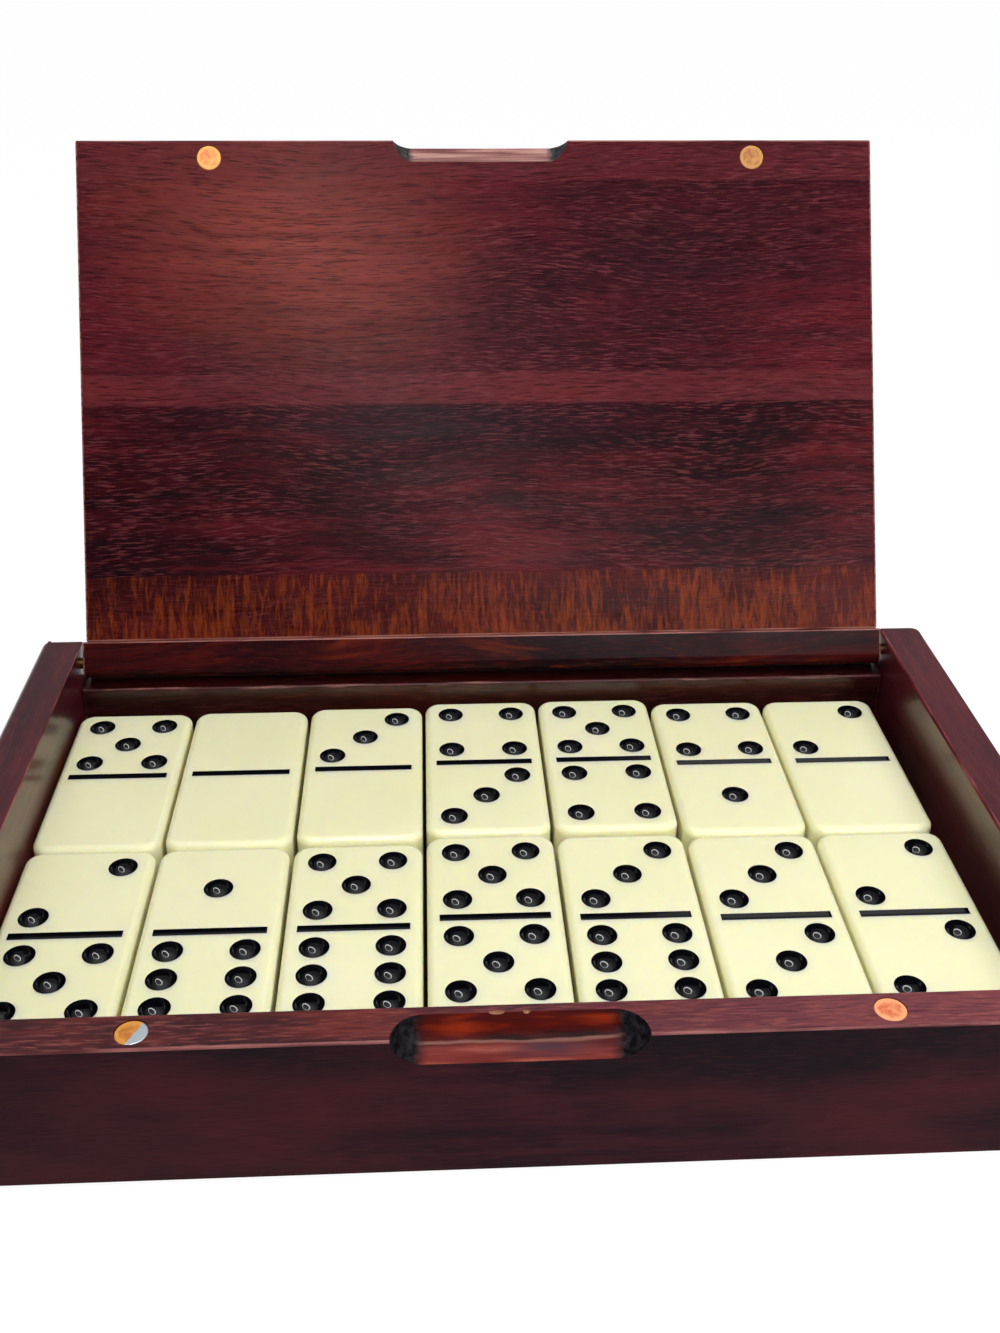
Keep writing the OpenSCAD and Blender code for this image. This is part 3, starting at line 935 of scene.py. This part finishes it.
def add_ring_lamp(camera):
    """A ring lamp that shows as a small ring in every pip."""
    deselect_all()
    bpy.ops.mesh.primitive_torus_add(
        major_radius=(RING_INNER + RING_OUTER) / 2,
        minor_radius=(RING_OUTER - RING_INNER) / 2,
        major_segments=96,
        minor_segments=12,
    )
    ring = bpy.context.active_object
    ring.scale = (1, 1, RING_FLATNESS)
    ring = added("ring_lamp")
    ring.matrix_world = camera.matrix_world @ Matrix.Translation(RING_AT)
    settle(ring)
    f = Finish("ring_lamp")
    glow = f.node("ShaderNodeEmission", {"Strength": RING_STRENGTH})
    f.put(f.tree.nodes["Material Output"].inputs["Surface"], glow.outputs[0])
    ring.data.materials.append(f.material)
    ring.visible_camera = False


def shown_share(f):
    """1 for the rays that show the background: camera, glossy and transmission rays."""
    path = f.node("ShaderNodeLightPath")
    rays = [path.outputs[key] for key in ("Is Camera Ray", "Is Glossy Ray", "Is Transmission Ray")]
    return f.math("MAXIMUM", f.math("MAXIMUM", rays[0], rays[1]), rays[2])


def make_floor():
    deselect_all()
    bpy.ops.mesh.primitive_plane_add(size=FLOOR_SIZE, location=(0, 0, 0))
    floor = added("floor")
    f = Finish("white_floor")
    f.shade(Base_Color=(0.9, 0.9, 0.9, 1), Roughness=0.9, Specular_IOR_Level=0.1)
    glow = f.node("ShaderNodeEmission", {"Strength": FLOOR_GLOW})
    share = f.math("MULTIPLY", shown_share(f), FLOOR_GLOW_SHARE)
    mixed = f.node("ShaderNodeMixShader", {0: share, 1: f.shader.outputs[0], 2: glow.outputs[0]})
    f.put(f.tree.nodes["Material Output"].inputs["Surface"], mixed.outputs[0])
    floor.data.materials.append(f.material)


def make_world():
    """A dim room under a brighter ceiling."""
    world = bpy.data.worlds.new("studio")
    world.use_nodes = True
    bpy.context.scene.world = world
    tree = world.node_tree
    direction = tree.nodes.new("ShaderNodeTexCoord")
    axes = tree.nodes.new("ShaderNodeSeparateXYZ")
    level = tree.nodes.new("ShaderNodeMapRange")
    level.interpolation_type = "SMOOTHSTEP"
    heights = {"From Min": CEILING_FROM, "From Max": CEILING_FULL}
    for key, value in (heights | {"To Min": HORIZON, "To Max": OVERHEAD}).items():
        level.inputs[key].default_value = value
    tree.nodes["Background"].inputs["Color"].default_value = (1, 1, 1, 1)
    tree.links.new(direction.outputs["Generated"], axes.inputs[0])
    tree.links.new(axes.outputs["Z"], level.inputs["Value"])
    tree.links.new(level.outputs[0], tree.nodes["Background"].inputs["Strength"])


def make_box():
    lengthwise = (0, 0, math.radians(90))
    upright = (math.radians(90), 0, 0)
    lid_turn = (-OPEN_TURN, 0, 0)
    wall_tones = [linear("#2c0c17"), linear("#44101c"), linear("#5a1822")]
    # Wall edges: rubbed stain with a painted highlight along the arris.
    edge_wear_and_highlight = rubbed_and_highlit_wood("wall_edges_rubbed_and_highlit", "#6a2a30", turn=lengthwise)
    for node, side, seed in (("left_wall", -1, 0.31), ("right_wall", 1, 0.87)):
        wood = plain_wood(
            node + "_wood", wall_tones, turn=lengthwise, seed=seed, fibre=0.35,
            gloss=0.3, roughness=0.32, coat=0.42, coat_roughness=0.18, relief=0.02,
        )
        make_side_wall(node, side, wood, edge_wear_and_highlight)
    # Front top arris: rubbed stain with a painted highlight; the pocket's chips are bare wood.
    front_wear_and_highlight = rubbed_and_highlit_wood("front_edge_rubbed_and_highlit", "#763c3c")
    make_front_wall(front_wood(), front_wear_and_highlight, pocket_wood(), rubbed_and_highlit_wood("bare_wood", "#986a4c"))
    # Painted shade: the back wall and bottom get darker tones than the side walls, those of the back wall in
    # the shadow under the rail.
    shaded_inside = [linear("#140405"), linear("#240607"), linear("#360a08")]
    back = plain_wood("back_wall_wood", shaded_inside, turn=upright, seed=2.2, fibre=0.3, gloss=0.3, coat=0.5)
    # Back wall and bottom edges: rubbed stain with a painted highlight along the arris.
    make_board("back_wall", back, rubbed_and_highlit_wood("back_edge_rubbed_and_highlit", "#2e0c0a"))
    bottom = plain_wood("bottom_wood", shaded_inside, seed=2.9, fibre=0.4)
    make_board("bottom_panel", bottom, rubbed_and_highlit_wood("bottom_edge_rubbed_and_highlit", "#5a2420"))
    # Lid and rail edges: rubbed stain with a painted highlight, which gives the pale line along the rail's
    # front edge.
    lid_wear_and_highlight = rubbed_and_highlit_wood("lid_edges_rubbed_and_highlit", "#8c544c", origin=PIN, turn=lid_turn)
    make_lid_board(lid_wood(), lid_wear_and_highlight, notch_wood())
    make_hinge_rail(rail_wood(), lid_wear_and_highlight)
    brass = hinge_brass()
    make_pin("left_hinge_pin", brass)
    make_pin("right_hinge_pin", brass)
    for side, centre, rim, bare in BOX_MAGNET_TONES:
        middle = box_magnet_middle(side)
        lacquer = magnet_lacquer(side + "_box_lacquer", middle, centre, rim, bare)
        make_magnet(side + "_box_magnet", lacquer, middle, on_lid=False)
    for side, centre, rim in LID_MAGNET_TONES:
        middle = lid_magnet_middle(side)
        lacquer = magnet_lacquer(side + "_lid_lacquer", TO_OPEN @ middle, centre, rim)
        make_magnet(side + "_lid_magnet", lacquer, middle, on_lid=True)


camera = make_camera()
make_world()
make_floor()
add_ring_lamp(camera)
make_box()
make_tiles(ivory_resin(), black_enamel())
bpy.context.scene.view_settings.view_transform = "Standard"
